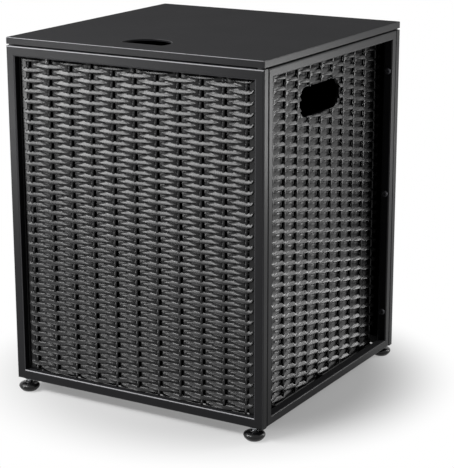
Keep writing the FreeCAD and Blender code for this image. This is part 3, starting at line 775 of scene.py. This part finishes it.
def leaves(side, holed):
    """Every strand that goes over a stake, as an array: leaf, station, point of the section, xyz.

    The section's height lies across the path in the panel's plane and its depth into it. The
    leaf's half height falls off as 1 - |u / reach| ^ p from the crest, its relief with it, so
    that its face keeps one tilt, and thin flanges reach to the rows above and below.
    """
    low, high = panel_space(side)
    row = row_levels(side)[1]
    curl_half = min(CURL_HALF_HEIGHT, CURL_SHARE * edge_room(side))
    stakes, centre, level, starts, stops, cut = leaf_places(side, holed)
    share = np.linspace(-1, 1, 2 * STATIONS_PER_HALF + 1)[None, :] + 0 * centre
    curl = ((stakes == 0) & (share < 0)) | ((stakes == STAKES - 1) & (share > 0))
    path = dict(ends=(starts, stops), pitch=SIDES[side]["pitch"], row=row, curl=curl,
                reach=edge_room(side) - curl_half)
    across, up, depth = leaf_path(share, **path)
    ahead, behind = leaf_path(share + PATH_STEP, **path), leaf_path(share - PATH_STEP, **path)
    run_u, run_z = ahead[0] - behind[0], ahead[1] - behind[1]
    run = np.maximum(np.hypot(run_u, run_z), TINY)
    run_u, run_z = run_u / run, run_z / run

    away = np.abs(across) / LEAF_REACH
    taper = 1 - np.clip(away, 0, 1) ** LEAF_POWER
    leaf = np.where(curl, curl_half, LEAF_TIP + (LEAF_HALF_HEIGHT - LEAF_TIP) * taper)
    grown = row / 2 + ROW_OVERLAP
    flange = LEAF_HALF_HEIGHT + (grown - LEAF_HALF_HEIGHT) * np.clip(FLANGE_GROWTH * away, 0, 1)
    flange = np.where(curl, curl_half, flange)
    relief = RELIEF_TIP + (RELIEF - RELIEF_TIP) * leaf / LEAF_HALF_HEIGHT

    share_z, share_w, kind = LEAF_SECTION.T
    height = share_z * np.where(kind == 0, leaf[..., None], flange[..., None])
    dip = share_w * relief[..., None] + np.where(kind == 2, FLANGE_SHEET, 0)
    u = (centre + across)[..., None] - run_z[..., None] * height
    z = (level + up)[..., None] + run_u[..., None] * height
    w = low[1] + CREST_CLEARANCE + depth[..., None] + dip
    if holed:
        limit = hole_half_length(z)
        u = np.where(cut[..., None] < 0, np.minimum(u, -limit), u)
        u = np.where(cut[..., None] > 0, np.maximum(u, limit), u)
        beside = (cut[..., None] == 0) & (np.abs(z - HOLE_LEVEL) < hole_half_height(u))
        z = np.where(beside, HOLE_LEVEL + np.sign(level[..., None] - HOLE_LEVEL) * hole_half_height(u), z)
    z = np.clip(z, low[2], high[2])
    return np.stack([u, w, z], -1), across[..., None] + 0 * height, False


print("points of the front's leaves:", leaves("front", False)[0].shape)

# %% [markdown]
# ## Stakes
# The stakes are upright ribs that show between the strands and swing a little, forward where a
# strand goes behind them. Straight bars would be simpler, but the swing makes the strands look
# woven round them. A stake that the hand hole would cut is made as two.

# %% Stakes
# The depths of its front and back halves, how much it swells where it comes forward, and how far
# its swing leads the rows, in rows
STAKE_CROWN = 0.7 * MM
STAKE_BACK = 1.8 * MM
STAKE_SWELL = 0.06
STAKE_SKEW = 0.2
# Steps up a row, and points round an oval
STATIONS_PER_ROW = 4
OVAL_POINTS = 12


def oval(half_width, half_depth):
    """Ellipse as (across, depth): x = a cos(t), y = b sin(t)."""
    angle = np.linspace(0, 2 * np.pi, OVAL_POINTS, endpoint=False)
    return np.cos(angle) * half_width, np.sin(angle) * half_depth


def stake_bars(side, holed):
    """Upright stakes: an oval carried up a cosine that comes forward where a strand goes behind.

    A stake that meets the hand hole is two bars, one below it and one above.
    """
    low, high = panel_space(side)
    pitch = SIDES[side]["pitch"]
    bottom, row = row_levels(side)
    places, starts, stops = [], [], []
    for stake in range(STAKES):
        u = (stake - (STAKES - 1) / 2) * pitch
        gap = hole_half_height(u) if holed else 0
        if gap > 0:
            places += [stake, stake]
            starts += [low[2], HOLE_LEVEL + gap]
            stops += [HOLE_LEVEL - gap, high[2]]
        else:
            places, starts, stops = places + [stake], starts + [low[2]], stops + [high[2]]
    stake = np.array(places)[:, None]
    starts, stops = np.array(starts)[:, None], np.array(stops)[:, None]
    share = np.linspace(0, 1, SIDES[side]["rows"] * STATIONS_PER_ROW + 1)[None, :]
    level = starts + (stops - starts) * share
    row_share = (level - bottom) / row - 0.5 + STAKE_SKEW
    behind = np.where((stake + SIDES[side]["first_over"]) % 2 == 0, 1, -1)
    depth = SIDES[side]["stake_front"] + SIDES[side]["stake_wave"] * behind * np.cos(np.pi * row_share)
    across, deep = oval(STAKE_HALF_WIDTH, 1.0)
    deep = np.where(deep < 0, STAKE_CROWN, STAKE_BACK) * deep
    swell = 1 - STAKE_SWELL * behind * np.cos(np.pi * row_share)
    u = ((stake - (STAKES - 1) / 2) * pitch)[..., None] + swell[..., None] * across
    w = low[1] + (depth + STAKE_CROWN)[..., None] + deep
    z = level[..., None] + 0 * u
    return np.stack([u, w, z], -1)[:, :, ::-1], z, False


print("stakes:", {side: stake_bars(side, side in HOLED)[0].shape[0] for side in SIDES})

# %% [markdown]
# ## Borders, edges and a sheet of painted shade
# A side panel ends in a plain bar at its top and bottom, every panel in a flat strip at its left
# and right, and the hand hole in a thin wall. A thin black sheet behind the weave is painted shade
# that keeps its slots dark. Boxes with a hole cut out could do, but a section carried round it needs no
# cut.

# %% Borders and edge strips
# The strips' width, and how far they lie behind the panel's front
EDGE_STRIP = 7.0 * MM
EDGE_DEPTH = 3.6 * MM


def border_bars(side):
    """Plain bars along the top and bottom edge of a side panel: an oval carried across."""
    low, high = panel_space(side)
    border = SIDES[side]["border"]
    tall, deep = oval(border / 2, (high[1] - low[1]) / 2 - CREST_CLEARANCE)
    u = np.array([low[0], high[0]])[None, :, None] + 0 * tall
    middle = np.array([low[2] + border / 2, high[2] - border / 2])[:, None, None]
    z = middle + tall + 0 * u
    w = (low[1] + high[1]) / 2 + deep + 0 * z
    return np.stack([u + 0 * z, w, z], -1), u + 0 * z, False


def edge_strips(side):
    """Flat upright strips along the left and right edge: a four-point section carried up, a little
    behind the panel's front."""
    low, high = panel_space(side)
    left = np.array([low[0], high[0] - EDGE_STRIP])[:, None, None]
    u = left + np.array([0, EDGE_STRIP, EDGE_STRIP, 0]) + np.zeros((1, 2, 1))
    w = low[1] + EDGE_DEPTH + np.array([0, 0, FLANGE_SHEET, FLANGE_SHEET]) + 0 * u
    z = np.array([low[2], high[2]])[None, :, None] + 0 * u
    return np.stack([u, w, z], -1), z, False


print("edge strips are", EDGE_STRIP / MM, "mm wide")

# %% Wall round the hand hole
# Its thickness, how far behind the panel's front it begins, and the steps round it
HOLE_RIM = 1.4 * MM
HOLE_RIM_FRONT = 4.5 * MM
HOLE_POINTS = 96


def hole_outline():
    """Outline of the hand hole about its middle, as (across, up): a rounded rectangle whose
    corners are quarter circles, from a point at each angle of a circle moved out to its corner."""
    angle = np.linspace(0, 2 * np.pi, HOLE_POINTS, endpoint=False)
    across = np.sign(np.cos(angle)) * (HOLE_HALF_LENGTH - HOLE_ROUND) + HOLE_ROUND * np.cos(angle)
    up = np.sign(np.sin(angle)) * (HOLE_HALF_HEIGHT - HOLE_ROUND) + HOLE_ROUND * np.sin(angle)
    return across, up


def hole_rim(side):
    """Thin wall that closes the weave round the hand hole: its four-point section runs from the
    outline to one offset outward, between the weave's mid depth and the panel's back."""
    low, high = panel_space(side)
    across, up = hole_outline()
    span = np.hypot(across / HOLE_HALF_LENGTH, up / HOLE_HALF_HEIGHT)
    grow = 1 + HOLE_RIM / (HOLE_HALF_HEIGHT * span)
    u = np.stack([across, across * grow, across * grow, across], -1)[None]
    z = HOLE_LEVEL + np.stack([up, up * grow, up * grow, up], -1)[None]
    w = np.array([low[1] + HOLE_RIM_FRONT, low[1] + HOLE_RIM_FRONT, high[1], high[1]]) + 0 * u
    return np.stack([u, w, z], -1), u, True


print("wall round the hand hole:", HOLE_POINTS, "stations")

# %% Sheet of painted shade
# Its thickness, and how far it reaches past the panel's sides
SHADE_SHEET_THICKNESS = 0.8 * MM
SHADE_SHEET_MARGIN = 1.0 * MM


def shade_sheet(side, holed):
    """Thin black sheet of painted shade behind the weave, which keeps its slots dark: a four-point
    section carried round the hand hole, from its outline out to the panel's edges. With no hole it is a
    plain plate."""
    low, high = panel_space(side)
    left, right = low[0] - SHADE_SHEET_MARGIN, high[0] + SHADE_SHEET_MARGIN
    front, back = high[1] - SHADE_SHEET_THICKNESS, high[1]
    if not holed:
        u = np.array([left, right])[None, :, None] + np.zeros((1, 2, 4))
        w = np.array([front, front, back, back]) + 0 * u
        z = np.array([low[2], high[2], high[2], low[2]]) + 0 * u
        return np.stack([u, w, z], -1)[:, :, ::-1], u, False
    across, up = hole_outline()
    room_u = np.where(across > 0, right, left) / across
    room_z = (np.where(up > 0, high[2], low[2]) - HOLE_LEVEL) / np.where(up == 0, TINY, up)
    grow = np.minimum(np.abs(room_u), np.abs(room_z))
    outer_u, outer_z = across * grow, HOLE_LEVEL + up * grow
    for corner_u in (left, right):
        for corner_z in (low[2], high[2]):
            nearest = np.argmin(np.hypot(outer_u - corner_u, outer_z - corner_z))
            outer_u[nearest], outer_z[nearest] = corner_u, corner_z
    u = np.stack([across, outer_u, outer_u, across], -1)[None]
    z = np.stack([HOLE_LEVEL + up, outer_z, outer_z, HOLE_LEVEL + up], -1)[None]
    w = np.array([front, front, back, back]) + 0 * u
    return np.stack([u, w, z], -1), u, True


# The lining is the sheet of painted shade
print("lining is", SHADE_SHEET_THICKNESS / MM, "mm thick")

# %% [markdown]
# ## Bosses
# A panel's screws go into round bosses on its back. They are hidden behind the frame, and are
# modelled so that the panel looks held when the lid is off. Cylinders could be added one by one,
# but circles carried along the depth join the same mesh. A boss that would pass the panel's top
# or bottom is cut flat there.

# %% Bosses
# Radius, distance from one to the next, and points round
BOSS_RADIUS = 5.0 * MM
BOSS_SPACING = 140 * MM
BOSS_POINTS = 24


def boss_posts(side):
    """Round bosses on a panel's back that its screws go into: circles carried along the depth."""
    low, high = panel_space(side)
    inset = SIDES[side]["border"] / 2 if SIDES[side]["border"] else BOSS_RADIUS
    places = [(u, z) for u in (-BOSS_SPACING, 0, BOSS_SPACING) for z in (low[2] + inset, high[2] - inset)]
    centre = np.array(places)
    angle = np.linspace(0, 2 * np.pi, BOSS_POINTS, endpoint=False)
    u = centre[:, 0, None, None] + BOSS_RADIUS * np.cos(angle) + np.zeros((1, 2, 1))
    z = centre[:, 1, None, None] + BOSS_RADIUS * np.sin(angle) + np.zeros((1, 2, 1))
    z = np.clip(z, low[2], high[2])
    w = np.array([(low[1] + high[1]) / 2, high[1]])[None, :, None] + 0 * u
    return np.stack([u, w, z], -1)[:, :, ::-1], w, False


print("bosses per panel:", {side: boss_posts(side)[0].shape[0] for side in SIDES})

# %% [markdown]
# ## Whole panels
# A panel is one moulding. Its leaves, stakes, edges and bosses could be pieces of their own, but
# nobody could take them apart, so they are one mesh, turned from the front to its side of the
# cover. The black sheet of painted shade behind it is a second piece. Both take the place of the
# CAD's panel and belong to the fixed body.

# %% Whole panels
def woven_panel(side):
    """One moulded panel: leaves, stakes, borders and bosses, turned to its side of the cover."""
    holed = side in HOLED
    parts = [leaves(side, holed), stake_bars(side, holed), edge_strips(side), boss_posts(side)]
    if holed:
        parts += [border_bars(side), hole_rim(side)]
    parts = [(turned(xyz, SIDES[side]["turn"]), along, ring) for xyz, along, ring in parts]
    panel = mesh_from_tubes(side + "_woven_panel", parts, MATERIALS["wicker_resin"])
    print(side, "tubes:", [xyz.shape[0] for xyz, along, ring in parts])
    # The black sheet behind the weave is painted shade, which keeps its slots dark
    xyz, along, ring = shade_sheet(side, holed)
    shade_piece = mesh_from_tubes(side + "_panel_shade_sheet", [(turned(xyz, SIDES[side]["turn"]), along, ring)],
                            MATERIALS["black_liner"])
    for piece in (panel, shade_piece):
        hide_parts(side + "_wicker_panel")
        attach(piece, "cover")
    return panel, shade_piece


# %% Build the panels
for side in SIDES:
    for piece in woven_panel(side):
        print(piece.name, len(piece.data.polygons), "faces", round(volume(piece) * 1e6, 1), "cm3")

# %% [markdown]
# ## Levelling feet
# A foot is an M6 stud moulded into a nylon pad. The pad is a flattened round body, as if turned,
# with a small base and a hub that grips the stud. The stud's thread is rolled. Spin and Screw
# modifiers could make both, but the grid that carries the weave serves them as well: the pad is
# one profile carried round an axis, and the thread a cylinder whose radius follows a helix.

# %% Foot sizes
FEET = ("front_left", "front_right", "rear_left", "rear_right")
# Radius and height of the pad's outline, as shares of its largest radius and its height
PAD_PROFILE = np.array([
    (0.66, 0.00), (0.71, 0.03), (0.86, 0.20), (0.95, 0.34), (0.99, 0.46), (1.00, 0.54), (0.98, 0.64),
    (0.92, 0.74), (0.80, 0.83), (0.62, 0.89), (0.46, 0.92), (0.40, 0.93), (0.38, 0.96), (0.36, 1.00),
])
# Points round the pad and round the stud, and the thread's steps per turn
PAD_POINTS = 48
STUD_POINTS = 24
STATIONS_PER_TURN = 8
THREAD_PITCH = 1.0 * MM
THREAD_DEPTH = 0.55 * MM
# Angle in degrees above which an edge of the stud is sharp, wide enough to keep its flanks smooth
STUD_SHARP = 80
print("thread pitch", THREAD_PITCH / MM, "mm, depth", THREAD_DEPTH / MM, "mm")


def foot_frame(name):
    """Middle, radius, bottom and top of an upright round piece's box."""
    low, high = (np.array(tuple(corner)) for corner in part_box(name))
    return (low + high)[:2] / 2, (high - low)[0] / 2, low[2], high[2]


def foot_pad(foot):
    """Nylon pad: the profile's radius and height, as shares of the piece's, carried round. The
    points start half a step round, so that none passes the CAD's faceted rim."""
    centre, radius, bottom, top = foot_frame(foot + "_foot_pad")
    angle = 2 * np.pi * (np.arange(PAD_POINTS) + 0.5) / PAD_POINTS
    ring = PAD_PROFILE[:, :1] * radius
    x, y = centre[0] + ring * np.cos(angle), centre[1] + ring * np.sin(angle)
    z = bottom + PAD_PROFILE[:, 1:] * (top - bottom) + 0 * x
    return np.stack([x, y, z], -1)[None], z[None], False


def foot_stem(foot):
    """Threaded stud: r = R - d |2 frac(z / p - a / 2 pi) - 1|, which is a helix of V-shaped grooves.
    The thread fades out towards both ends."""
    centre, radius, bottom, top = foot_frame(foot + "_foot_stem")
    angle = np.linspace(0, 2 * np.pi, STUD_POINTS, endpoint=False)
    z = np.linspace(bottom, top, int((top - bottom) / THREAD_PITCH) * STATIONS_PER_TURN)[:, None]
    groove = np.abs(2 * ((z / THREAD_PITCH - angle / (2 * np.pi)) % 1) - 1)
    chamfer = np.clip(np.minimum(z - bottom, top - z) / THREAD_PITCH, 0, 1)
    ring = radius - THREAD_DEPTH * (1 - chamfer * (1 - groove))
    x, y = centre[0] + ring * np.cos(angle), centre[1] + ring * np.sin(angle)
    return np.stack([x, y, z + 0 * x], -1)[None], (z + 0 * x)[None], False


print("foot stands at", [round(v, 3) for v in foot_frame("front_left_foot_pad")[0]])

# %% Build the feet
for foot in FEET:
    pad = mesh_from_tubes(foot + "_pad", [foot_pad(foot)], MATERIALS["black_plastic"])
    stem = mesh_from_tubes(foot + "_stud", [foot_stem(foot)], MATERIALS["zinc_plated_steel"], STUD_SHARP)
    for piece, part in ((pad, "pad"), (stem, "stem")):
        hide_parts(foot + "_foot_" + part)
        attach(piece, foot + "_foot")
        print(piece.name, len(piece.data.polygons), "faces", round(volume(piece) * 1e6, 3), "cm3")

# %% [markdown]
# ## Pieces that keep their CAD shape
# Tubes, lid, stiffeners, tabs, clips, fasteners, sleeves and bumpers could be modelled again, but
# the CAD already has their rounded shape, so they only need their finish. Each CAD mesh came in
# with its slot's name on its material.

# %% Finishes of the CAD pieces
for name, node in nodes.items():
    for slot in node.material_slots:
        slot.material = MATERIALS[slot.material.name.split(".")[0]]
print("dressed", len(nodes), "CAD pieces")
